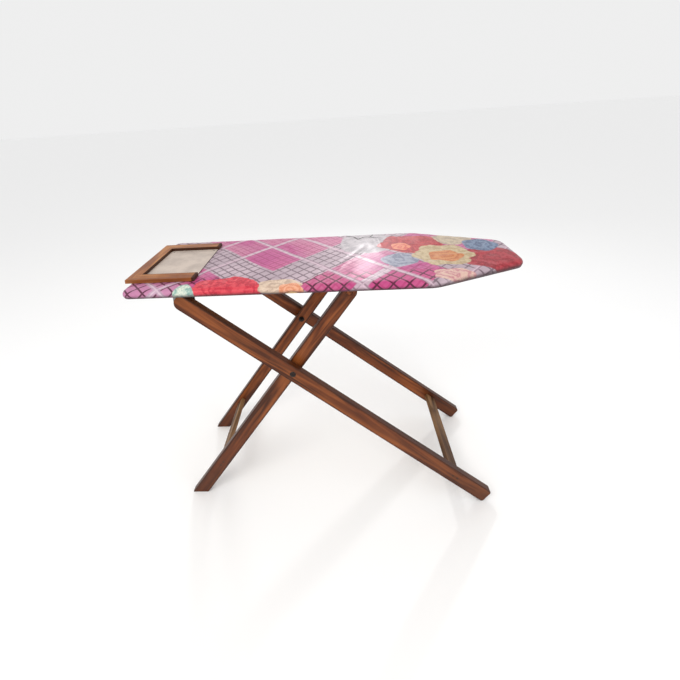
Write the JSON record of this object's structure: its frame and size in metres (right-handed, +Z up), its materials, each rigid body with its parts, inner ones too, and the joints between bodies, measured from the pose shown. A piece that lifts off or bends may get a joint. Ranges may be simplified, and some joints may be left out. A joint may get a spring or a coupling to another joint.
{
  "type": "ironing board",
  "caption": "Folding wooden ironing board with crossed legs, padded printed cover, tapered nose and a wooden-framed iron rest at the broad end.",
  "frame": {"origin": "bottom centre of the whole box, on the floor under the middle of the board", "axes": "+X towards the tapered nose, +Z up, the board is symmetric across Y"},
  "size_m": [1.265, 0.42, 0.853],
  "materials": {
    "deck_plywood": "raw plywood",
    "foam": "soft foam padding",
    "printed_cover": "satin printed check with flowers",
    "rest_plate": "off-white enamel, satin",
    "rest_wood": "light varnished, satin",
    "leg_wood": "red-brown varnished, glossy",
    "rung_wood": "worn, dry",
    "block_wood": "worn varnish",
    "dark_steel": "blackened",
    "steel": "dull zinc"
  },
  "bodies": {
    "board": {"deck_board": "deck_plywood", "foam_pad": "foam", "cover": "printed_cover", "cover_staples": "steel", "iron_rest_plate": "rest_plate", "iron_rest_tacks": "steel", "iron_rest_end": "rest_wood", "iron_rest_screws": "steel", "deck_screws": "steel", "heel_batten": "rung_wood", "nose_batten": "rung_wood", "iron_rest_rail_near": "rest_wood", "iron_rest_rail_far": "rest_wood", "hinge_bracket_near": "steel", "hinge_bracket_far": "steel", "bar_cleat_near": "block_wood", "bar_cleat_far": "block_wood", "bracket_screws": "steel"},
    "outer_frame": {"outer_leg_near": "leg_wood", "outer_leg_far": "leg_wood", "outer_rung": "rung_wood", "outer_rung_screws": "steel", "cross_bolts": "dark_steel", "cross_spacers": "steel", "cross_washers": "steel", "cross_nuts": "steel", "hinge_screws": "steel"},
    "inner_frame": {"inner_leg_near": "leg_wood", "inner_leg_far": "leg_wood", "inner_rung": "rung_wood", "inner_rung_screws": "steel", "catch_bar": "rung_wood"}
  },
  "joints": [
    {"name": "leg_fold", "type": "hinge", "parent": "board", "child": "outer_frame", "pos_m": [-0.4435, 0, 0.7828], "axis": [0, -1, 0], "range_deg": [0, 38.8]},
    {"name": "cross_pivot", "type": "hinge", "parent": "outer_frame", "child": "inner_frame", "pos_m": [-0.11639, 0, 0.5198], "axis": [0, 1, 0], "range_deg": [0, 92.5]}
  ],
  "couplings": [
    {"joint": "cross_pivot", "follows": "leg_fold", "ratio": 2.3763}
  ]
}
